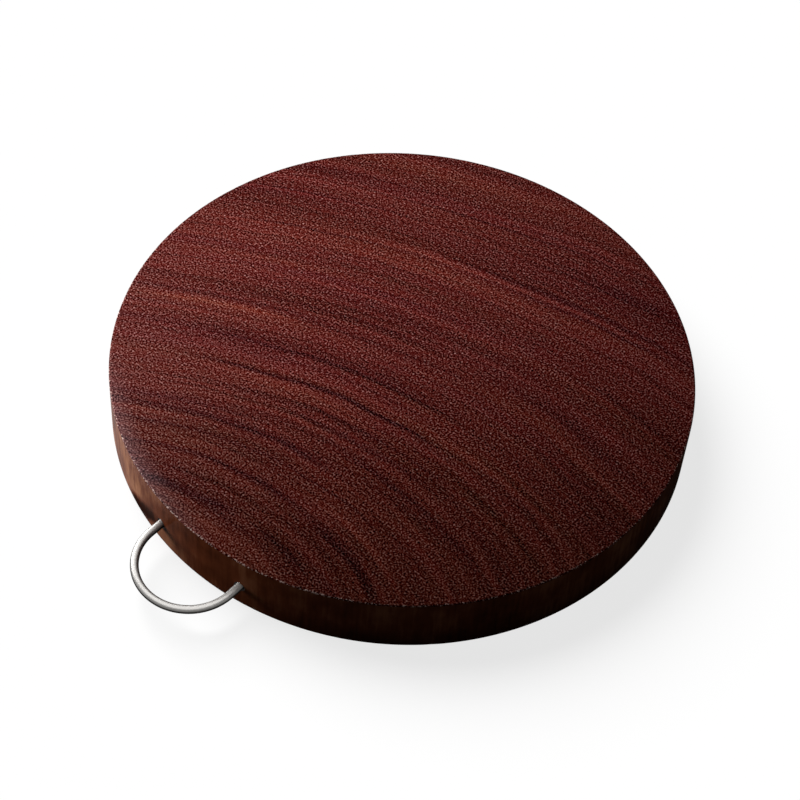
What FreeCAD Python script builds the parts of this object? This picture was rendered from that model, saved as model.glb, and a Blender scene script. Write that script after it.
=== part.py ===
import FreeCAD, Part
import enum
import math
import os
import Sketcher

# A round chopping block: one thick slab of hardwood cut across the trunk, end grain up, with a loop of
# stainless wire glued into two parallel blind holes in its rim, for carrying it and hanging it up.
# Millimetres, +Z up, origin at the middle of the underside. The handle points along -Y.

SIZES = [
    # The slab
    ("block_diameter", 350.0, "across the slab"),
    ("block_thickness", 40.0, "underside to working face"),
    ("edge_round", 1.0, "eased edge round both faces"),
    # The wire loop
    ("wire_diameter", 5.0, "round stainless wire"),
    ("leg_spacing", 62.5, "between the centre lines of the two legs"),
    ("leg_straight", 8.0, "straight wire from the wood to the bend"),
    ("leg_depth", 30.0, "straight wire held in the wood"),
    ("leg_end_chamfer", 0.8, "lead-in on the cut ends of the wire"),
    ("handle_height", 16.5, "underside to the middle of the wire"),
    # The drilled holes that hold it
    ("hole_clearance", 0.1, "hole over wire, on the diameter: the glue line"),
    ("hole_end_room", 1.0, "room left behind the end of the leg"),
    ("hole_mouth_ease", 1.0, "eased edge round the mouth"),
    ("drill_point_angle", 118.0, "degrees, the cone that the drill leaves"),
]

doc = FreeCAD.newDocument("ChoppingBlock")
sheet = doc.addObject("Spreadsheet::Sheet", "sizes")
for row, (alias, value, meaning) in enumerate(SIZES, start=1):
    sheet.set(f"A{row}", alias)
    sheet.set(f"B{row}", str(value))
    sheet.set(f"C{row}", meaning)
    sheet.setAlias(f"B{row}", alias)
doc.recompute()

BLOCK_RADIUS = "sizes.block_diameter / 2"
HALF_SPACING = "sizes.leg_spacing / 2"
HOLE_DIAMETER = "sizes.wire_diameter + sizes.hole_clearance"
# The rim curves away from its outermost point, so each leg enters the wood a little nearer the middle.
LEG_MEETS_RIM = f"sqrt(({BLOCK_RADIUS}) ^ 2 - ({HALF_SPACING}) ^ 2)"
FULL_TURN = 360
EDGE_SAMPLES = 9
TOLERANCE = 1e-6


class At(enum.IntEnum):
    """How a sketch numbers the points of a line, arc or circle."""

    START = 1
    END = 2
    CENTRE = 3


class Axis(enum.IntEnum):
    """How a sketch numbers its own axes, which start at its origin."""

    ACROSS = -1
    UP = -2


ORIGIN_POINT = (Axis.ACROSS, At.START)


def origin_plane(body, role):
    """One of the body's own origin planes."""
    return next(feature for feature in body.Origin.OriginFeatures if feature.Role == role)


def new_sketch(body, role, name):
    """An empty sketch on one of the body's own origin planes."""
    sketch = body.newObject("Sketcher::SketchObject", name)
    sketch.AttachmentSupport = [(origin_plane(body, role), "")]
    sketch.MapMode = "FlatFace"
    return sketch


def dimension(sketch, name, expression, *constraint):
    """A named dimension of a sketch, tied to the sheet."""
    index = sketch.addConstraint(Sketcher.Constraint(*constraint))
    sketch.renameConstraint(index, name)
    sketch.setExpression(f"Constraints.{name}", expression)


def same(first, second):
    """Whether two lengths agree."""
    return abs(first - second) < TOLERANCE


def edges_where(shape, test):
    """Names of the edges whose every sampled point passes the test."""
    names = []
    for number, edge in enumerate(shape.Edges, start=1):
        # The point of a drilled cone counts as an edge of no length.
        if edge.Degenerated:
            continue
        if all(test(point) for point in edge.discretize(Number=EDGE_SAMPLES)):
            names.append(f"Edge{number}")
    return names


def make_wood_block():
    """The slab: a turned disc with eased edges, then two blind holes drilled side by side into the rim."""
    body = doc.addObject("PartDesign::Body", "wood_block")
    radius = sheet.block_diameter / 2
    thickness = sheet.block_thickness
    corners = [(0, 0), (radius, 0), (radius, thickness), (0, thickness)]
    points = [FreeCAD.Vector(x, y, 0) for x, y in corners]

    profile = new_sketch(body, "XZ_Plane", "block_profile")
    for first, second in zip(points, points[1:] + points[:1]):
        profile.addGeometry(Part.LineSegment(first, second))
    underside, rim, face, axis = range(4)
    for line, following in ((underside, rim), (rim, face), (face, axis), (axis, underside)):
        profile.addConstraint(Sketcher.Constraint("Coincident", line, At.END, following, At.START))
    profile.addConstraint(Sketcher.Constraint("Coincident", underside, At.START, *ORIGIN_POINT))
    for line in (underside, face):
        profile.addConstraint(Sketcher.Constraint("Horizontal", line))
    for line in (rim, axis):
        profile.addConstraint(Sketcher.Constraint("Vertical", line))
    dimension(profile, "radius", BLOCK_RADIUS, "DistanceX", underside, At.START, underside, At.END, radius)
    dimension(profile, "thickness", "sizes.block_thickness",
              "DistanceY", rim, At.START, rim, At.END, thickness)

    slab = body.newObject("PartDesign::Revolution", "turned_slab")
    slab.Profile = profile
    slab.ReferenceAxis = (profile, ["V_Axis"])
    slab.Angle = FULL_TURN
    doc.recompute()

    def on_rim(point):
        return same(math.hypot(point.x, point.y), radius)

    def on_corner(point):
        return on_rim(point) and (same(point.z, 0) or same(point.z, thickness))

    rounded = body.newObject("PartDesign::Fillet", "eased_edges")
    rounded.Base = (slab, edges_where(slab.Shape, on_corner))
    rounded.setExpression("Radius", "sizes.edge_round")
    doc.recompute()

    # The hole centres are set out on the plane that touches the rim at the handle's side.
    layout = new_sketch(body, "XZ_Plane", "hole_layout")
    layout.setExpression(".AttachmentOffset.Base.z", BLOCK_RADIUS)
    hole_radius = (sheet.wire_diameter + sheet.hole_clearance) / 2
    half = sheet.leg_spacing / 2
    height = sheet.handle_height
    for x in (-half, half):
        layout.addGeometry(Part.Circle(FreeCAD.Vector(x, height, 0), FreeCAD.Vector(0, 0, 1), hole_radius))
    left, right = range(2)
    layout.addConstraint(Sketcher.Constraint("Equal", left, right))
    layout.addConstraint(Sketcher.Constraint("Symmetric", left, At.CENTRE, right, At.CENTRE, Axis.UP))
    dimension(layout, "height", "sizes.handle_height", "DistanceY", *ORIGIN_POINT, left, At.CENTRE, height)
    dimension(layout, "spacing", "sizes.leg_spacing",
              "DistanceX", left, At.CENTRE, right, At.CENTRE, 2 * half)
    dimension(layout, "hole_size", HOLE_DIAMETER, "Diameter", left, 2 * hole_radius)
    doc.recompute()

    drilled = body.newObject("PartDesign::Hole", "leg_holes")
    drilled.Profile = layout
    drilled.ThreadType = "None"
    drilled.DepthType = "Dimension"
    drilled.DrillPoint = "Angled"
    drilled.DrillForDepth = False
    drilled.setExpression("DrillPointAngle", "sizes.drill_point_angle")
    drilled.setExpression("Diameter", HOLE_DIAMETER)
    rim_to_mouth = f"{BLOCK_RADIUS} - {LEG_MEETS_RIM}"
    drilled.setExpression("Depth", f"{rim_to_mouth} + sizes.leg_depth + sizes.hole_end_room")
    doc.recompute()

    def on_mouth(point):
        return on_rim(point) and same(math.hypot(abs(point.x) - half, point.z - height), hole_radius)

    eased = body.newObject("PartDesign::Chamfer", "eased_hole_mouths")
    eased.Base = (drilled, edges_where(drilled.Shape, on_mouth))
    eased.setExpression("Size", "sizes.hole_mouth_ease")
    doc.recompute()
    return body


def make_wire_handle():
    """The loop: one wire of two straight legs and a half-round bend, chamfered where it was cut.

    It is drawn flat about the point midway between its legs where they enter the wood.
    """
    body = doc.addObject("PartDesign::Body", "wire_handle")
    half = sheet.leg_spacing / 2
    left_end = FreeCAD.Vector(-half, sheet.leg_depth, 0)
    left_bend = FreeCAD.Vector(-half, -sheet.leg_straight, 0)
    right_bend = FreeCAD.Vector(half, -sheet.leg_straight, 0)
    right_end = FreeCAD.Vector(half, sheet.leg_depth, 0)
    tip = FreeCAD.Vector(0, -sheet.leg_straight - half, 0)

    path = new_sketch(body, "XY_Plane", "wire_path")
    path.addGeometry(Part.LineSegment(left_end, left_bend))
    path.addGeometry(Part.Arc(left_bend, tip, right_bend))
    path.addGeometry(Part.LineSegment(right_bend, right_end))
    left_leg, bend, right_leg = range(3)
    path.addConstraint(Sketcher.Constraint("Tangent", left_leg, At.END, bend, At.START))
    path.addConstraint(Sketcher.Constraint("Tangent", bend, At.END, right_leg, At.START))
    path.addConstraint(Sketcher.Constraint("Vertical", left_leg))
    path.addConstraint(Sketcher.Constraint("Symmetric", left_leg, At.START, right_leg, At.END, Axis.UP))
    dimension(path, "spacing", "sizes.leg_spacing",
              "DistanceX", left_leg, At.START, right_leg, At.END, 2 * half)
    dimension(path, "depth", "sizes.leg_depth",
              "DistanceY", *ORIGIN_POINT, left_leg, At.START, left_end.y)
    dimension(path, "straight", "sizes.leg_straight",
              "DistanceY", left_leg, At.END, *ORIGIN_POINT, -left_bend.y)

    section = new_sketch(body, "XZ_Plane", "wire_section")
    section.setExpression(".AttachmentOffset.Base.z", "-sizes.leg_depth")
    wire_radius = sheet.wire_diameter / 2
    section.addGeometry(Part.Circle(FreeCAD.Vector(-half, 0, 0), FreeCAD.Vector(0, 0, 1), wire_radius))
    circle = 0
    section.addConstraint(Sketcher.Constraint("PointOnObject", circle, At.CENTRE, Axis.ACROSS))
    dimension(section, "side", HALF_SPACING, "DistanceX", circle, At.CENTRE, *ORIGIN_POINT, half)
    dimension(section, "wire", "sizes.wire_diameter", "Diameter", circle, 2 * wire_radius)
    doc.recompute()

    wire = body.newObject("PartDesign::AdditivePipe", "bent_wire")
    wire.Profile = section
    wire.Spine = (path, [f"Edge{number}" for number in range(1, len(path.Shape.Edges) + 1)])
    doc.recompute()

    cut_ends = body.newObject("PartDesign::Chamfer", "cut_ends")
    cut_ends.Base = (wire, edges_where(wire.Shape, lambda point: same(point.y, sheet.leg_depth)))
    cut_ends.setExpression("Size", "sizes.leg_end_chamfer")

    body.setExpression(".Placement.Base.y", f"-{LEG_MEETS_RIM}")
    body.setExpression(".Placement.Base.z", "sizes.handle_height")
    doc.recompute()
    return body


pieces = [make_wood_block(), make_wire_handle()]

failed = [item.Name for item in doc.Objects if "Invalid" in item.State or "Error" in item.State]
if failed:
    raise RuntimeError(f"not built: {failed}")
for piece in pieces:
    if piece.Shape.isNull() or not piece.Shape.isValid():
        raise RuntimeError(f"bad solid: {piece.Label}")

os.makedirs("parts", exist_ok=True)
for piece in pieces:
    piece.Shape.exportStep(f"parts/{piece.Label}.step")
    box = piece.Shape.optimalBoundingBox(False)
    extents = f"{box.XLength:.2f} x {box.YLength:.2f} x {box.ZLength:.2f} mm"
    print(f"{piece.Label}: {extents}, {piece.Shape.Volume:.0f} mm3")
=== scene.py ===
import math
import bmesh
import bpy
from mathutils import Matrix, Vector


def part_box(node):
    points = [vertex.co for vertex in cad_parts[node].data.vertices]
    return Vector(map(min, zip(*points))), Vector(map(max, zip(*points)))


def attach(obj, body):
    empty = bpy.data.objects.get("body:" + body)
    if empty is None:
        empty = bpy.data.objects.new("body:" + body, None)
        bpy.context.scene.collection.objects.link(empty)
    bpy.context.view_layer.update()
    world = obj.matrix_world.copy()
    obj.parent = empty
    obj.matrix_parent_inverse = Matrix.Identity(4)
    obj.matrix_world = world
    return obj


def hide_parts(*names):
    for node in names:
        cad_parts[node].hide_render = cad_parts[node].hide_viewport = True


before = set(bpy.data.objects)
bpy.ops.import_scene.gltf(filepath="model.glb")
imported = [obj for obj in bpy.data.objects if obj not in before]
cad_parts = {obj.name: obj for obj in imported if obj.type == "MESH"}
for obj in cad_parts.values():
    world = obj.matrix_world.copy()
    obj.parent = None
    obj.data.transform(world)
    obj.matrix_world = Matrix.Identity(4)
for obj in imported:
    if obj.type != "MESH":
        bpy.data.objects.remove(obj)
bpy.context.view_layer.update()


# The slab: one thick round of dense red-brown hardwood, sawn straight across the trunk, so that both faces
# are end grain and the rim shows the long fibres. It is turned round, its edges are eased and scuffed, the
# faces are oiled and the rim is lacquered. Two blind holes are drilled into the rim for the handle.
slab_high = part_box("wood_block")[1]
SLAB_RADIUS = slab_high.x
SLAB_THICKNESS = slab_high.z
EDGE_ROUND = 0.001


class Signal:
    """A node socket that Python arithmetic works on: each operator adds its Math node."""

    # A Mix node has sockets for each kind of data, and these are the ones for its colours.
    MIX_FIRST = 6
    MIX_SECOND = 7
    MIX_RESULT = 2

    def __init__(self, tree, socket=None):
        self.tree = tree
        self.socket = socket

    def node(self, kind, settings, values, output=0):
        """Any node: its type, its settings, then the values or links of its sockets."""
        node = self.tree.nodes.new(kind)
        for name, value in settings.items():
            if name == "stops":
                fill_ramp(node.color_ramp, value)
            else:
                setattr(node, name, value)
        for place, value in values.items():
            if isinstance(value, Signal):
                self.tree.links.new(value.socket, node.inputs[place])
            else:
                node.inputs[place].default_value = value
        return Signal(self.tree, node.outputs[output])

    def math(self, operation, *others, clamp=False):
        """Any Math node, with this signal first."""
        settings = {"operation": operation, "use_clamp": clamp}
        return self.node("ShaderNodeMath", settings, dict(enumerate((self,) + others)))

    def __add__(self, other):
        return self.math("ADD", other)

    __radd__ = __add__

    def __sub__(self, other):
        return self.math("SUBTRACT", other)

    def __rsub__(self, other):
        return self.node("ShaderNodeMath", {"operation": "SUBTRACT"}, {0: other, 1: self})

    def __mul__(self, other):
        return self.math("MULTIPLY", other)

    __rmul__ = __mul__

    def __truediv__(self, other):
        return self.math("DIVIDE", other)

    def __rtruediv__(self, other):
        return self.node("ShaderNodeMath", {"operation": "DIVIDE"}, {0: other, 1: self})

    def clamped(self):
        """Kept between 0 and 1."""
        return self.math("ADD", 0.0, clamp=True)

    def part(self, axis):
        """One coordinate of a vector."""
        return self.node("ShaderNodeSeparateXYZ", {}, {0: self}, axis)

    def joined(self, y, z):
        """A vector whose first coordinate is this signal."""
        return self.node("ShaderNodeCombineXYZ", {}, {0: self, 1: y, 2: z})

    def vector(self, operation, other, output=0):
        """Any Vector Math node on two vectors."""
        return self.node("ShaderNodeVectorMath", {"operation": operation}, {0: self, 1: other}, output)

    def noise(self, scale, detail, roughness=0.5):
        """Soft noise at this place, with about as many spots to the metre as the scale."""
        values = {"Vector": self, "Scale": scale, "Detail": detail, "Roughness": roughness}
        return self.node("ShaderNodeTexNoise", {}, values, "Fac")

    def mixed(self, first, second):
        """A colour between two, with this signal as the share of the second."""
        settings = {"data_type": "RGBA", "clamp_factor": True}
        values = {"Factor": self, self.MIX_FIRST: first, self.MIX_SECOND: second}
        return self.node("ShaderNodeMix", settings, values, self.MIX_RESULT)


def fill_ramp(ramp, stops):
    """Sets a colour ramp's stops from (place, linear colour) pairs."""
    while len(ramp.elements) < len(stops):
        ramp.elements.new(1.0)
    for element, (place, colour) in zip(ramp.elements, stops):
        element.position = place
        element.color = (*colour, 1.0)


def new_material(name):
    """A material with an empty tree, and the signal that its nodes start from."""
    material = bpy.data.materials.new(name)
    material.use_nodes = True
    material.node_tree.nodes.clear()
    return material, Signal(material.node_tree)


def finish_material(start, shader):
    """Ends a material's tree in its output node."""
    output = start.tree.nodes.new("ShaderNodeOutputMaterial")
    start.tree.links.new(shader.socket, output.inputs["Surface"])


def srgb(red, green, blue):
    """A colour as seen on a screen, 0 to 255, as linear light."""
    parts = [value / 255 for value in (red, green, blue)]
    return tuple(p / 12.92 if p <= 0.04045 else ((p + 0.055) / 1.055) ** 2.4 for p in parts)


# The trunk's heart lies outside the slab, so its growth rings cross the face as long flattened arcs, which
# sway a little.
GRAIN_TURN = math.radians(-38.06)
HEART = (-1.13 * SLAB_RADIUS, -1.16 * SLAB_RADIUS)
RING_FLATTENING = 1.556
RING_SWAY = 0.09
SWAYS_PER_METRE = 14.0


def ring_fields(start):
    """Object position, distance from the heart in slab radii, and angle about it."""
    place = start.node("ShaderNodeTexCoord", {}, {}, "Object")
    turned = place.node("ShaderNodeMapping", {}, {
        "Vector": place, "Location": (-HEART[0], -HEART[1], 0.0), "Rotation": (0.0, 0.0, GRAIN_TURN)})
    sway = place.noise(SWAYS_PER_METRE, detail=2.0)
    across = turned.part("X")
    away = turned.part("Y") * RING_FLATTENING
    distance = (across * across + away * away).math("SQRT") / SLAB_RADIUS + (sway - 0.5) * RING_SWAY
    angle = away.math("ARCTAN2", across)
    return place, distance, angle


def ring_noise(ring, angle, across, along, layer, detail, roughness=0.5):
    """Noise that follows the rings: how fine across and along them, and which of its patterns."""
    return (ring * across).joined(angle * along, layer).noise(1.0, detail, roughness)


def slab_sides(place):
    """How far left of the middle a point lies, and how far in front of it, in slab radii."""
    turned = place.node("ShaderNodeMapping", {}, {"Vector": place, "Rotation": (0.0, 0.0, GRAIN_TURN)})
    return turned.part("X") * (-1.0 / SLAB_RADIUS), turned.part("Y") * (-1.0 / SLAB_RADIUS)


# Faces: dark pores in a paler web of fibre, in soft bands and thin dark lines that follow the rings, redder
# in some places and browner in others. Along the eased edge the surface is scuffed pale. Over the left of
# the face lies a pale painted sheen, and next to the edge at the front left a pinkish one.
RED_WOOD = (0.306, 0.108, 0.095, 1.0)
BROWN_WOOD = (0.296, 0.116, 0.101, 1.0)
WARM = (1.00, 1.09, 0.91, 1.0)
COOL = (1.00, 0.91, 1.09, 1.0)
DARKEST_PORE = (0.02, 0.01, 0.01)
WORN_EDGE = (*srgb(215, 184, 174), 1.0)
# Painted sheen next to the edge at the front left: its colour, how far in it reaches and its share.
EDGE_SHEEN = (*srgb(176, 152, 158), 1.0)
EDGE_SHEEN_REACH = 0.011
EDGE_SHEEN_SHARE = 0.4
PORE_RELIEF = 0.0002
PORES_PER_METRE = 950.0
FINE_PORES_PER_METRE = 2600.0
CLOUDS_PER_METRE = 75.0
CLOUD_CONTRAST = 2.2
SCUFFS_PER_METRE = 1050.0
SCUFF_GROUPS_PER_METRE = 150.0
SCUFF_GROUPING = 0.3
SCUFFED_ABOVE = 0.59
SCUFF_SHARPNESS = 9.0
SCREEN_GAMMA = 2.2
# How far each kind of mark changes the tone, and the shares of that which red, green and blue take.
PORE_TONE = 0.88
FINE_PORE_TONE = 0.06
BAND_TONE = 0.11
FINE_LINE_TONE = 0.32
GROWTH_LINE_TONE = 0.08
# Painted sheen over the left of the face, the more so at the front.
SHEEN_TONE = 0.055
FRONT_SHEEN_TONE = 0.06
SHADE_SHARES = (1.0, 0.55, 0.5)
STIPPLE_SHARES = (0.9, 1.0, 1.0)
# How far the pale bands, the growth lines and the front of the slab change the hue.
BAND_HUE = -0.4
GROWTH_LINE_HUE = 0.35
FRONT_HUE = -0.5
# Soft bands, outwards from the ring nearest the heart: place as a share of their span, and how pale.
NEAREST_RING = 0.8
RINGS_SPAN = 2.8
BANDS = (
    (0.00, 0.72), (0.07, 0.30), (0.15, 0.60), (0.23, 0.42), (0.37, 0.60), (0.43, 0.36), (0.48, 0.57),
    (0.55, 0.40), (0.64, 0.52), (0.71, 0.82), (0.79, 0.32), (0.93, 0.75), (1.00, 0.40))
# Growth lines: distance from the heart and half width, in slab radii, how dark (paler below 0), and the
# angles about the heart between which the line shows.
GROWTH_LINES = (
    (0.84, 0.040, -0.8, 0.30, 1.00), (0.91, 0.024, 0.6, 0.40, 1.00), (0.95, 0.040, 2.2, 0.82, 1.30),
    (0.96, 0.032, 1.3, 0.38, 0.80), (1.13, 0.026, 1.3, 0.20, 0.70), (1.16, 0.028, 1.4, 0.75, 1.50),
    (1.23, 0.020, -0.5, 0.40, 0.80), (1.30, 0.018, 0.8, 0.50, 1.45), (1.41, 0.030, 0.9, 0.85, 1.55),
    (1.48, 0.020, 0.8, 1.05, 1.55), (1.50, 0.022, 0.8, 0.30, 0.90), (1.59, 0.026, 0.8, 0.60, 1.10),
    (1.66, 0.026, 1.0, 0.60, 1.10), (1.72, 0.018, -0.6, 0.90, 1.25), (1.78, 0.016, 1.5, 0.75, 1.36),
    (1.81, 0.018, 0.6, 0.30, 0.75), (1.95, 0.022, 0.7, 0.80, 1.36), (2.15, 0.030, -1.6, 1.18, 1.52),
    (2.22, 0.028, 0.5, 0.50, 1.00), (2.27, 0.020, 0.6, 0.95, 1.40), (2.49, 0.022, 0.7, 0.90, 1.35),
    (2.72, 0.050, -0.4, 0.85, 1.45), (2.81, 0.016, 1.0, 0.70, 1.45), (2.87, 0.026, 0.7, 0.70, 1.15),
    (3.05, 0.040, 0.8, 0.76, 1.02), (3.18, 0.022, 0.6, 0.90, 1.25), (3.32, 0.024, 0.4, 0.90, 1.30),
    (3.41, 0.045, -0.4, 0.95, 1.35))
LINE_END_SHARPNESS = 9.0

end_grain, start = new_material("ironwood_end_grain")
place, ring, angle = ring_fields(start)
leftward, frontward = slab_sides(place)
bands = start.node("ShaderNodeValToRGB", {"stops": [(spot, (tone,) * 3) for spot, tone in BANDS]}, {
    "Fac": (ring - NEAREST_RING) / RINGS_SPAN})
fine_lines = ring_noise(ring, angle, across=26.0, along=1.2, layer=0.0, detail=2.0, roughness=0.8)
dark_line = 0.0
for distance, half_width, darkness, first, last in GROWTH_LINES:
    line = (1.0 - (ring - distance).math("ABSOLUTE") / half_width).clamped() * darkness
    begun = ((angle - first) * LINE_END_SHARPNESS).clamped()
    not_ended = ((last - angle) * LINE_END_SHARPNESS).clamped()
    dark_line = line * begun * not_ended + dark_line
# The lines come and go along their length.
strength = ring_noise(ring, angle, across=7.0, along=2.5, layer=3.0, detail=1.0)
dark_line = dark_line * (strength * 1.4 + 0.2).clamped()
# Tones are added as the eye sees them, then turned back into light. A painted sheen lies on the left.
left_side = leftward.clamped()
painted_sheen = left_side * left_side * (SHEEN_TONE + frontward * FRONT_SHEEN_TONE)
pores = place.noise(PORES_PER_METRE, detail=0.0)
fine_pores = place.noise(FINE_PORES_PER_METRE, detail=1.0)
stipple = (pores - 0.5) * PORE_TONE + (fine_pores - 0.5) * FINE_PORE_TONE
shade = (bands - 0.5) * BAND_TONE + (fine_lines - 0.5) * FINE_LINE_TONE - dark_line * GROWTH_LINE_TONE
red, green, blue = (
    shade * shaded + stipple * stippled + painted_sheen for shaded, stippled in zip(SHADE_SHARES, STIPPLE_SHARES))
clouds = place.noise(CLOUDS_PER_METRE, detail=2.0)
redness = ((clouds - 0.5) * CLOUD_CONTRAST + 0.5).mixed(RED_WOOD, BROWN_WOOD)
# The hue changes from ring to ring. Dark lines are cooler, pale ones and the front of the slab warmer.
coolness = ring_noise(ring, angle, across=11.0, along=2.0, layer=5.0, detail=2.0)
coolness = coolness + (bands - 0.5) * BAND_HUE + dark_line * GROWTH_LINE_HUE
hue = (coolness + frontward.clamped() * FRONT_HUE).mixed(WARM, COOL)
marked = redness.vector("MULTIPLY", hue).vector("ADD", red.joined(green, blue))
seen = marked.vector("MAXIMUM", DARKEST_PORE)
wood = start.node("ShaderNodeGamma", {}, {"Color": seen, "Gamma": SCREEN_GAMMA})
# Knocks leave pale dots along the middle of the eased edge, in groups, and most of them at the front.
# Beside it, at the front left, a pinkish painted sheen lies, broken up by the pore pattern.
x, y, z = (place.part(axis) for axis in "XYZ")
outward = (x * x + y * y).math("SQRT") - (SLAB_RADIUS - EDGE_ROUND)
upward = (z - SLAB_THICKNESS / 2).math("ABSOLUTE") - (SLAB_THICKNESS / 2 - EDGE_ROUND)
edge = ((outward + upward) / EDGE_ROUND * 4.0 - 4.2).clamped()
near = (frontward * 1.8 - 0.1).clamped()
groups = place.noise(SCUFF_GROUPS_PER_METRE, detail=1.0)
dots = place.noise(SCUFFS_PER_METRE, detail=0.0) + (groups - 0.5) * SCUFF_GROUPING
dots = dots + near * 0.06 - left_side * 0.04 - (1.0 - left_side * 5.0).clamped() * 0.07
scuffed = ((dots - SCUFFED_ABOVE) * SCUFF_SHARPNESS).clamped() * edge
edge_sheen = (outward / EDGE_SHEEN_REACH + 1.0).clamped() * (left_side * 3.0 - 1.7).clamped() * near
edge_sheen = edge_sheen * pores * EDGE_SHEEN_SHARE
colour = scuffed.mixed(edge_sheen.mixed(wood, EDGE_SHEEN), WORN_EDGE)
relief = start.node("ShaderNodeBump", {}, {"Strength": 0.2, "Distance": PORE_RELIEF, "Height": pores})
shader = start.node("ShaderNodeBsdfPrincipled", {}, {
    "Base Color": colour, "Roughness": 0.8, "Specular IOR Level": 0.01, "Normal": relief})
finish_material(start, shader)


def along_fibres(place, height_share, scale, detail, roughness=0.5):
    """Noise drawn out upright along the rim's fibres, the more the smaller the share."""
    return place.vector("MULTIPLY", (1.0, 1.0, height_share)).noise(scale, detail, roughness)


def on_rim(turn, height):
    """A point of the rim, by its angle in degrees and its height."""
    turn = math.radians(turn)
    return Vector((SLAB_RADIUS * math.cos(turn), SLAB_RADIUS * math.sin(turn), height))


# Rim: the long fibres seen from the side, upright and close, with soft dark and pale patches, under
# lacquer. A dark streak of painted shade runs up it aslant to the handle, with paler patches of painted
# light and darker ones of painted shade round about. Along the top of the glossy left lies a painted sheen.
RIM_WOOD = ((0.15, srgb(46, 20, 11)), (0.5, srgb(112, 58, 35)), (0.85, srgb(168, 112, 78)))
# Painted sheen on the top of the rim's lacquered left: its colour, how far down it reaches, and its share.
RIM_SHEEN = (*srgb(172, 128, 117), 1.0)
RIM_SHEEN_REACH = 0.012
RIM_SHEEN_SHARE = 0.5
FIBRE_RELIEF = 0.0001
# How far each kind of mark changes the tone. Mottles show more at the left, where the lacquer is glossy:
# that extra is painted reflection.
FIBRE_TONE = 0.3
PATCH_TONE = 0.75
RING_TONE = 0.2
MOTTLE_TONE = 0.25
REFLECTION_MOTTLE_TONE = 0.6
STREAK_TONE = 0.52
# Painted shade streak: the angle in degrees and the height of its ends, then its width and how far it goes.
STREAK_FOOT = (-111.0, 0.002)
STREAK_HEAD = (-100.5, 0.018)
STREAK_HALF_WIDTH = 0.004
STREAK_REACH = 0.025
STREAK_FADE = 0.008
# Patches of painted light and shade: angle in degrees, height, reach, and how much paler.
LIGHT_AND_SHADE_PATCHES = (
    (-112.0, 0.024, 0.020, 0.16), (-97.5, 0.030, 0.015, -0.22), (-100.0, 0.007, 0.010, 0.12),
    (-127.0, 0.036, 0.016, -0.12))

side_grain, start = new_material("ironwood_rim")
place, ring, angle = ring_fields(start)
leftward = slab_sides(place)[0]
lacquered = (leftward * 3.0 - 1.8).clamped()
z = place.part("Z")
fibres = along_fibres(place, height_share=0.06, scale=420.0, detail=4.0)
patches = along_fibres(place, height_share=0.8, scale=48.0, detail=3.0)
mottles = along_fibres(place, height_share=0.22, scale=240.0, detail=4.0, roughness=0.6)
bands = ring_noise(ring, angle, across=46.0, along=0.0, layer=0.0, detail=2.0)
# The streak is painted shade, strongest at its foot and fading towards its head.
streak_foot = on_rim(*STREAK_FOOT)
streak_head = on_rim(*STREAK_HEAD)
streak_middle = (streak_foot + streak_head) / 2
streak_across = (streak_head - streak_foot).cross(streak_middle).normalized()
from_middle = place.vector("SUBTRACT", streak_middle)
aside = from_middle.vector("DOT_PRODUCT", streak_across, "Value").math("ABSOLUTE") / STREAK_HALF_WIDTH
away = from_middle.vector("LENGTH", (0.0, 0.0, 0.0), "Value")
near_streak = ((STREAK_REACH - away) / STREAK_FADE).clamped()
streak = (1.7 - aside + (mottles - 0.5) * 3.0).clamped() * near_streak
streak = streak * (1.3 - z / STREAK_HEAD[1]).clamped()
tone = (fibres - 0.5) * FIBRE_TONE + (patches - 0.5) * PATCH_TONE + (bands - 0.5) * RING_TONE
# The streak darkens with painted shade; the extra mottles at the glossy left are painted reflection.
tone = tone - streak * STREAK_TONE + (mottles - 0.5) * (MOTTLE_TONE + REFLECTION_MOTTLE_TONE * lacquered)
# Paler patches of painted light and darker ones of painted shade round the handle.
for turn, height, reach, paleness in LIGHT_AND_SHADE_PATCHES:
    distance = place.vector("DISTANCE", on_rim(turn, height), "Value")
    tone = tone + (1.3 - distance / reach).clamped() * paleness
wood = start.node("ShaderNodeValToRGB", {"stops": RIM_WOOD}, {"Fac": tone + 0.5}, "Color")
# A painted sheen along the top of the lacquered left, broken up by the pore pattern.
rim_sheen = ((place.noise(PORES_PER_METRE, detail=0.0) - 0.36) * 3.0).clamped() * lacquered
rim_sheen = rim_sheen * ((z - SLAB_THICKNESS) / RIM_SHEEN_REACH + 1.0).clamped() * RIM_SHEEN_SHARE
wood = rim_sheen.mixed(wood, RIM_SHEEN)
relief = start.node("ShaderNodeBump", {}, {"Strength": 0.1, "Distance": FIBRE_RELIEF, "Height": fibres})
lacquer = lacquered * (0.16 - 0.15 * streak) + 0.003
shader = start.node("ShaderNodeBsdfPrincipled", {}, {
    "Base Color": wood, "Roughness": 0.45, "Specular IOR Level": 0.0, "Normal": relief,
    "Coat Weight": lacquer, "Coat Roughness": 0.1, "Coat IOR": 1.3})
finish_material(start, shader)

# Holes: bare wood, darkened by glue.
GLUED_WOOD = (*srgb(40, 20, 13), 1.0)
bored_wood, start = new_material("ironwood_bored")
shader = start.node("ShaderNodeBsdfPrincipled", {}, {"Base Color": GLUED_WOOD, "Roughness": 0.8})
finish_material(start, shader)


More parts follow.
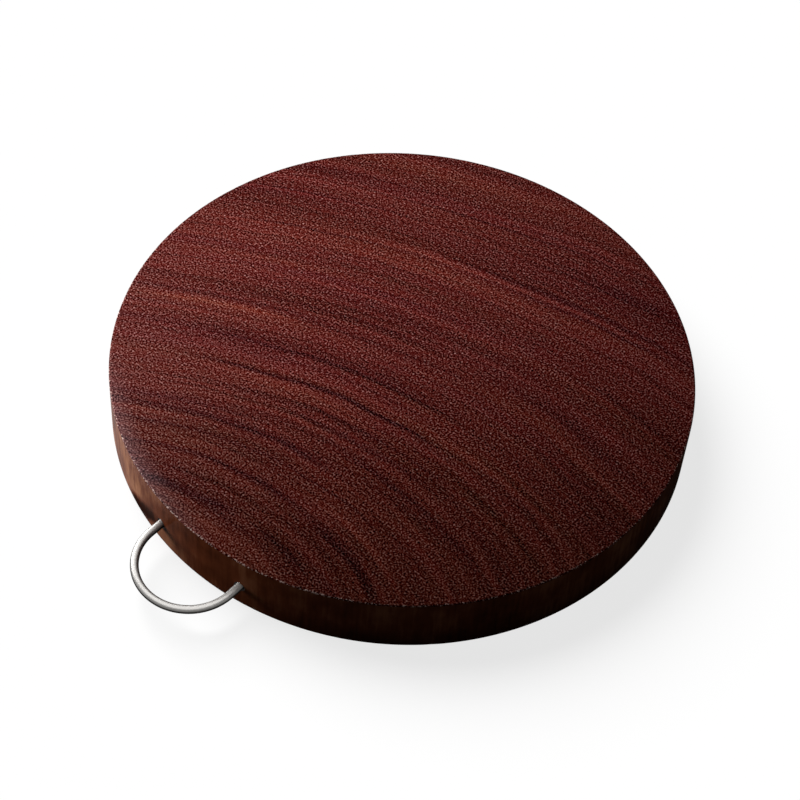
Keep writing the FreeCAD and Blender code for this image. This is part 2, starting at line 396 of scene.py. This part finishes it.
def geometry_tree(name, sizes):
    """An empty Geometry Nodes tree, with a named input for each size and each material."""
    tree = bpy.data.node_groups.new(name, "GeometryNodeTree")
    tree.interface.new_socket("Geometry", in_out="OUTPUT", socket_type="NodeSocketGeometry")
    for label, value in sizes.items():
        kind = "NodeSocketMaterial" if isinstance(value, bpy.types.Material) else "NodeSocketFloat"
        tree.interface.new_socket(label, in_out="INPUT", socket_type=kind)
    inputs = tree.nodes.new("NodeGroupInput")
    return tree, {label: Signal(tree, inputs.outputs[label]) for label in sizes}


def grown_mesh(name, tree, result, sizes):
    """Runs a finished tree on an empty object and gives the plain mesh that it makes."""
    output = tree.nodes.new("NodeGroupOutput")
    tree.links.new(result.socket, output.inputs["Geometry"])
    seed = bpy.data.objects.new(name, bpy.data.meshes.new(name))
    bpy.context.scene.collection.objects.link(seed)
    modifier = seed.modifiers.new(name, "NODES")
    modifier.node_group = tree
    for item in tree.interface.items_tree:
        if item.in_out == "INPUT":
            modifier[item.identifier] = sizes[item.name]
    graph = bpy.context.evaluated_depsgraph_get()
    mesh = bpy.data.meshes.new_from_object(seed.evaluated_get(graph))
    seed.modifiers.remove(modifier)
    bpy.data.objects.remove(seed)
    mesh.name = name
    return mesh


# The turned shape: a cube of evenly spaced points, drawn out round, with chips in its eased edge. The
# counts are from the middle of a face to its edge, over half of the eased edge, and up the rim.
FACE_RINGS = 90
EDGE_RINGS = 4
RIM_ROWS = 16
CHIP_DEPTH = 0.00015
CHIP_SPACING = 0.005
CHIPPED_ABOVE = 0.56
CHIP_SLOPE = 6.0
RIM_LEAN = 0.25
SMOOTH_UP_TO = math.radians(30)

slab_sizes = {
    "Radius": SLAB_RADIUS, "Thickness": SLAB_THICKNESS, "Edge Round": EDGE_ROUND,
    "Chip Depth": CHIP_DEPTH, "Chip Spacing": CHIP_SPACING, "Face Wood": end_grain, "Rim Wood": side_grain}
tree, size = geometry_tree("turned_slab", slab_sizes)
start = Signal(tree)
block = start.node("GeometryNodeMeshCube", {}, {
    "Size": (2, 2, 2), "Vertices X": 2 * FACE_RINGS + 1, "Vertices Y": 2 * FACE_RINGS + 1,
    "Vertices Z": RIM_ROWS + 2 * EDGE_RINGS + 1})
spot = start.node("GeometryNodeInputPosition", {}, {})
a, b, h = (spot.part(axis) for axis in "XYZ")
# Square rings of the cube become round ones.
steps = a.math("ABSOLUTE").math("MAXIMUM", b.math("ABSOLUTE"))
on_a = a.math("ABSOLUTE").math("GREATER_THAN", b.math("ABSOLUTE"))
major = a * on_a + b * (1 - on_a)
minor = b * on_a + a * (1 - on_a)
turn = minor / major * (math.pi / 4)
main = major * turn.math("COSINE")
aside = major * turn.math("SINE")
way_x = (main * on_a + aside * (1 - on_a)) / steps
way_y = (aside * on_a + main * (1 - on_a)) / steps
# The outermost rings and rows take the eased edge, half of its quarter round each.
flat_share = 1 - EDGE_RINGS / FACE_RINGS
rim_share = 1 - EDGE_RINGS / (RIM_ROWS / 2 + EDGE_RINGS)
rise = h.math("ABSOLUTE")
over = ((steps - flat_share) / (1 - flat_share)).clamped()
under = ((rise - rim_share) / (1 - rim_share)).clamped()
lean = (1 + over - under) * (math.pi / 4)
half = size["Thickness"] / 2
rim_spot = (way_x * size["Radius"]).joined(way_y * size["Radius"], h * half)
knocks = rim_spot.noise(1.0 / size["Chip Spacing"], detail=2.0)
chip = ((knocks - CHIPPED_ABOVE) * CHIP_SLOPE).clamped() * (lean * 2.0).math("SINE") * size["Chip Depth"]
round_left = size["Edge Round"] - chip
reach = (steps / flat_share).math("MINIMUM", 1.0) * (size["Radius"] - size["Edge Round"])
reach = reach + round_left * lean.math("SINE")
height = (rise / rim_share).math("MINIMUM", 1.0) * (half - size["Edge Round"])
height = height + round_left * lean.math("COSINE")
turned = block.node("GeometryNodeSetPosition", {}, {
    "Geometry": block, "Position": (way_x * reach).joined(way_y * reach, h.math("SIGN") * height + half)})
facing_up = start.node("GeometryNodeInputNormal", {}, {}).part("Z").math("ABSOLUTE")
smooth = turned.node("GeometryNodeSetShadeSmooth", {}, {"Geometry": turned, "Shade Smooth": True})
faced = smooth.node("GeometryNodeSetMaterial", {}, {"Geometry": smooth, "Material": size["Face Wood"]})
real = faced.node("GeometryNodeRealizeInstances", {}, {"Geometry": faced})
rimmed = real.node("GeometryNodeSetMaterial", {}, {
    "Geometry": real, "Selection": facing_up.math("LESS_THAN", RIM_LEAN), "Material": size["Rim Wood"]})
slab = bpy.data.objects.new("round_slab", grown_mesh("round_slab", tree, rimmed, slab_sizes))
bpy.context.scene.collection.objects.link(slab)

# The holes go straight in, side by side, where the handle's legs meet the curve of the rim.
handle_low, handle_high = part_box("wire_handle")
WIRE_RADIUS = (handle_high.z - handle_low.z) / 2
HALF_SPACING = handle_high.x - WIRE_RADIUS
HANDLE_HEIGHT = handle_low.z + WIRE_RADIUS
HOLE_RADIUS = 0.00255
HOLE_DEPTH = 0.031
HOLE_SIDES = 48
MOUTH_EASE = 0.001
MOUTH_OVERRUN = 0.002
DRILL_POINT = math.radians(118)


def rim_at(across):
    """Where along Y the rim lies on the handle's side, at a distance across."""
    return -math.sqrt(SLAB_RADIUS ** 2 - across ** 2)


def drill_bit(across):
    """The bored space of one leg hole: flared where the mouth is eased, coned where the drill stopped."""
    stations = [(-MOUTH_OVERRUN, HOLE_RADIUS + MOUTH_EASE + MOUTH_OVERRUN), (MOUTH_EASE, HOLE_RADIUS),
                (HOLE_DEPTH, HOLE_RADIUS)]
    bit = bmesh.new()
    rings = []
    for depth, radius in stations:
        ring = []
        for step in range(HOLE_SIDES):
            turn = 2 * math.pi * step / HOLE_SIDES
            x = across + radius * math.cos(turn)
            z = HANDLE_HEIGHT + radius * math.sin(turn)
            ring.append(bit.verts.new((x, rim_at(x) + depth, z)))
        rings.append(ring)
    tip_depth = HOLE_DEPTH + HOLE_RADIUS / math.tan(DRILL_POINT / 2)
    tip = bit.verts.new((across, rim_at(across) + tip_depth, HANDLE_HEIGHT))
    for first, second in zip(rings, rings[1:]):
        for i in range(HOLE_SIDES):
            j = (i + 1) % HOLE_SIDES
            bit.faces.new((first[i], first[j], second[j], second[i]))
    for i in range(HOLE_SIDES):
        bit.faces.new((rings[-1][i], rings[-1][(i + 1) % HOLE_SIDES], tip))
    bit.faces.new(rings[0])
    bmesh.ops.recalc_face_normals(bit, faces=bit.faces)
    mesh = bpy.data.meshes.new("drill_bit")
    bit.to_mesh(mesh)
    bit.free()
    mesh.materials.append(bored_wood)
    cutter = bpy.data.objects.new("drill_bit", mesh)
    bpy.context.scene.collection.objects.link(cutter)
    return cutter


bits = [drill_bit(side * HALF_SPACING) for side in (-1, 1)]
for bit in bits:
    boring = slab.modifiers.new("boring", "BOOLEAN")
    boring.operation = "DIFFERENCE"
    boring.solver = "EXACT"
    boring.material_mode = "TRANSFER"
    boring.object = bit
graph = bpy.context.evaluated_depsgraph_get()
bored = bpy.data.meshes.new_from_object(slab.evaluated_get(graph))
slab.modifiers.clear()
slab.data = bored
for bit in bits:
    bpy.data.objects.remove(bit)
slab.data.shade_smooth()
slab.data.set_sharp_from_angle(angle=SMOOTH_UP_TO)
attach(slab, "root")
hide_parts("wood_block")


# The handle: one length of round stainless wire bent into a U, drawn to a satin finish. Its straight legs
# are glued into the two parallel holes in the rim, and the loop stands out level for a finger or a hook.
LEG_END_CHAMFER = 0.0008
WIRE_SIDES = 48
BEND_STEPS = 48
PLAIN_STEEL = (0.46, 0.447, 0.430, 1.0)
PAINTED_SHADE_STEEL = (0.035, 0.033, 0.031, 1.0)
GLANCING_TINT = (0.15, 0.15, 0.15, 1.0)
DRAWN_LINES_PER_METRE = (2600.0, 2600.0, 60.0)
DRAWN_RELIEF = 0.00005
# The underside is darkened with painted shade: below what height, and how soon, in radii.
SHADE_BELOW = 0.88
SHADE_FADE = 0.6

steel, start = new_material("stainless_wire")
lay = start.node("ShaderNodeAttribute", {"attribute_name": "straight_wire"}, {}, "Vector")
drawn = lay.vector("MULTIPLY", DRAWN_LINES_PER_METRE).noise(1.0, detail=2.0)
height = (start.node("ShaderNodeTexCoord", {}, {}, "Object").part("Z") - HANDLE_HEIGHT) / WIRE_RADIUS
# Painted shade darkens the underside, broken up by the drawn lines.
painted_shade = ((SHADE_BELOW - height) / SHADE_FADE + (drawn - 0.5) * 0.4).clamped()
colour = painted_shade.mixed(PLAIN_STEEL, PAINTED_SHADE_STEEL)
relief = start.node("ShaderNodeBump", {}, {"Strength": 0.15, "Distance": DRAWN_RELIEF, "Height": drawn})
shader = start.node("ShaderNodeBsdfPrincipled", {}, {
    "Base Color": colour, "Metallic": 1.0, "Specular Tint": GLANCING_TINT,
    "Roughness": 0.36 + 0.14 * drawn, "Normal": relief})
finish_material(start, shader)

handle_sizes = {
    "Half Spacing": HALF_SPACING, "Wire Radius": WIRE_RADIUS, "End Chamfer": LEG_END_CHAMFER,
    "Height": HANDLE_HEIGHT, "Leg End": handle_high.y, "Bend Tip": handle_low.y + WIRE_RADIUS,
    "Steel": steel}
tree, size = geometry_tree("bent_wire", handle_sizes)
start = Signal(tree)
left = 0.0 - size["Half Spacing"]
right = size["Half Spacing"]
route = start.node("GeometryNodeCurvePrimitiveQuadrilateral", {"mode": "POINTS"}, {
    "Point 1": left.joined(size["Leg End"], size["Height"]),
    "Point 2": left.joined(size["Bend Tip"], size["Height"]),
    "Point 3": right.joined(size["Bend Tip"], size["Height"]),
    "Point 4": right.joined(size["Leg End"], size["Height"])})
opened = route.node("GeometryNodeSetSplineCyclic", {}, {"Geometry": route, "Cyclic": False})
bent = opened.node("GeometryNodeFilletCurve", {"mode": "POLY"}, {
    "Curve": opened, "Count": BEND_STEPS, "Radius": size["Half Spacing"], "Limit Radius": True})
even = bent.node("GeometryNodeResampleCurve", {"mode": "LENGTH"}, {
    "Curve": bent, "Length": size["End Chamfer"]})
run = start.node("GeometryNodeSplineParameter", {}, {}, "Length")
whole = start.node("GeometryNodeSplineLength", {}, {}, "Length")
section = start.node("GeometryNodeCurvePrimitiveCircle", {}, {
    "Resolution": WIRE_SIDES, "Radius": size["Wire Radius"]})
spot = start.node("GeometryNodeInputPosition", {}, {})


def kept(shape, name, kind, value):
    """The shape with a value stored at each of its points."""
    return shape.node("GeometryNodeStoreNamedAttribute", {"data_type": kind, "domain": "POINT"}, {
        "Geometry": shape, "Name": name, "Value": value})


def recalled(name, kind):
    """A value that was stored at each point."""
    return start.node("GeometryNodeInputNamedAttribute", {"data_type": kind}, {"Name": name})


# The wire tapers at its cut ends, and keeps where each point lay on the straight wire, for the drawn lines.
from_end = run.math("MINIMUM", whole - run)
taper = ((from_end + size["Wire Radius"] - size["End Chamfer"]) / size["Wire Radius"]).math("MINIMUM", 1.0)
tube = even.node("GeometryNodeCurveToMesh", {}, {
    "Curve": kept(even, "run", "FLOAT", run),
    "Profile Curve": kept(section, "section", "FLOAT_VECTOR", spot),
    "Scale": taper, "Fill Caps": True})
across = recalled("section", "FLOAT_VECTOR")
straight = across.part("X").joined(across.part("Y"), recalled("run", "FLOAT"))
laid = kept(tube, "straight_wire", "FLOAT_VECTOR", straight)
real = laid.node("GeometryNodeRealizeInstances", {}, {"Geometry": laid})
finished = real.node("GeometryNodeSetMaterial", {}, {"Geometry": real, "Material": size["Steel"]})
handle = bpy.data.objects.new("wire_loop", grown_mesh("wire_loop", tree, finished, handle_sizes))
bpy.context.scene.collection.objects.link(handle)
handle.data.shade_smooth()
handle.data.set_sharp_from_angle(angle=SMOOTH_UP_TO)
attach(handle, "root")
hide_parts("wire_handle")


# The stage: a plain white table with an even lamp of its own. The slab has a soft lamp close above its far
# left, whose light falls off across the face, and one low at the left for the rim. The wire has a broad
# lamp above it and a small one at the far left, which the slab doesn't shade.
FLOOR_REACH = 6.0
floor_corners = [(x * FLOOR_REACH, y * FLOOR_REACH, 0) for x, y in ((-1, -1), (1, -1), (1, 1), (-1, 1))]
floor_mesh = bpy.data.meshes.new("floor")
floor_mesh.from_pydata(floor_corners, [], [(0, 1, 2, 3)])
floor = bpy.data.objects.new("floor", floor_mesh)
bpy.context.scene.collection.objects.link(floor)


def seen_directly(start):
    """1 for rays from the camera, a reflection or a see-through part, 0 for light that bounces about."""
    kinds = ("Is Camera Ray", "Is Glossy Ray", "Is Transmission Ray")
    rays = [start.node("ShaderNodeLightPath", {}, {}, kind) for kind in kinds]
    return (rays[0] + rays[1] + rays[2]).clamped()


# The table's paint and its glow add up to white where it is fully lit, and the paint takes the shadow.
TABLE_PAINT = (0.23, 0.23, 0.23, 1.0)
TABLE_BOUNCE = (0.08, 0.08, 0.08, 1.0)
TABLE_GLOW = 0.77
table, start = new_material("white_table")
direct = seen_directly(start)
matt = start.node("ShaderNodeBsdfDiffuse", {}, {"Color": direct.mixed(TABLE_BOUNCE, TABLE_PAINT)})
glow = start.node("ShaderNodeEmission", {}, {"Strength": direct * TABLE_GLOW})
finish_material(start, start.node("ShaderNodeAddShader", {}, {0: matt, 1: glow}))
floor_mesh.materials.append(table)

# The room is white up to 8 degrees above the table and grey from 30 degrees up, as the metal mirrors it.
# It gives next to no light itself.
ROOM_OVERHEAD = 0.36
ROOM_LOW_DOWN = 0.628
ROOM_LIGHT = 0.012
world = bpy.data.worlds.new("studio")
bpy.context.scene.world = world
world.use_nodes = True
world.node_tree.nodes.clear()
start = Signal(world.node_tree)
upwards = start.node("ShaderNodeTexCoord", {}, {}, "Generated").part("Z")
low_down = (1.4 - upwards * 2.8).clamped()
room = seen_directly(start) * (ROOM_OVERHEAD + ROOM_LOW_DOWN * low_down) + ROOM_LIGHT
surround = start.node("ShaderNodeBackground", {}, {"Color": (1.0, 1.0, 1.0, 1.0), "Strength": room})
output = world.node_tree.nodes.new("ShaderNodeOutputWorld")
world.node_tree.links.new(surround.socket, output.inputs["Surface"])

# The slab is seen with its handle at the lower left.
VIEW_TURN = Matrix.Rotation(math.radians(38.06), 4, "Z")


def lit_only(name, pieces):
    """A collection of the pieces that a lamp lights."""
    group = bpy.data.collections.new(name)
    for piece in pieces:
        group.objects.link(piece)
    return group


def place_lamp(name, lamp, place, aim, lights, shaded_by=None):
    """Sets a lamp up; place and aim are given as the camera sees them: right, away and up."""
    holder = bpy.data.objects.new(name, lamp)
    bpy.context.scene.collection.objects.link(holder)
    holder.location = VIEW_TURN @ Vector(place)
    ray = VIEW_TURN @ (Vector(aim) - Vector(place))
    holder.rotation_euler = ray.to_track_quat("-Z", "Y").to_euler()
    holder.visible_camera = False
    holder.light_linking.receiver_collection = lights
    holder.light_linking.blocker_collection = shaded_by


def soft_lamp(name, width, height, power, place, aim, lights, shaded_by=None):
    """A rectangular lamp behind a diffuser."""
    lamp = bpy.data.lights.new(name, "AREA")
    lamp.shape = "RECTANGLE"
    lamp.size = width
    lamp.size_y = height
    lamp.energy = power
    place_lamp(name, lamp, place, aim, lights, shaded_by)


on_slab = lit_only("lit_slab", [slab])
on_handle = lit_only("lit_handle", [handle])
on_table = lit_only("lit_table", [floor])
# Width, height and watts, then place, aim and what each lights.
soft_lamp("key_lamp", 0.3, 0.3, 1.72, (-0.068, 0.100, 0.36), (-0.09, 0.3, 0.04), on_slab)
soft_lamp("side_lamp", 0.3, 0.2, 1.3, (-0.42, 0.0, 0.11), (-0.15, -0.06, 0.02), on_slab)
soft_lamp("wire_lamp", 0.4, 0.2, 2.3, (-0.40, 0.16, 0.15), (-0.14, -0.15, 0.016), on_handle, on_handle)
soft_lamp("handle_lamp", 1.4, 1.2, 8.0, (-0.15, -0.10, 0.80), (0.0, -0.17, 0.02), on_handle)
# At this strength a matt white table comes out white.
TABLE_LAMP_HEIGHT = math.radians(42)
even_lamp = bpy.data.lights.new("table_lamp", "SUN")
even_lamp.energy = math.pi / math.sin(TABLE_LAMP_HEIGHT)
even_lamp.angle = math.radians(45)
place_lamp("table_lamp", even_lamp, (-0.525, 0.525, 0.669), (0, 0, 0), on_table)

CAMERA_PLACE = (-0.00026, -0.84477, 1.05338)
CAMERA_TURN = (38.695, -2.949, 41.734)
camera = bpy.data.cameras.new("camera")
camera.sensor_width = 36.0
camera.lens = 99.35
viewer = bpy.data.objects.new("camera", camera)
bpy.context.scene.collection.objects.link(viewer)
viewer.location = VIEW_TURN @ Vector(CAMERA_PLACE)
viewer.rotation_euler = [math.radians(turn) for turn in CAMERA_TURN]
bpy.context.scene.camera = viewer
bpy.context.scene.view_settings.view_transform = "Standard"
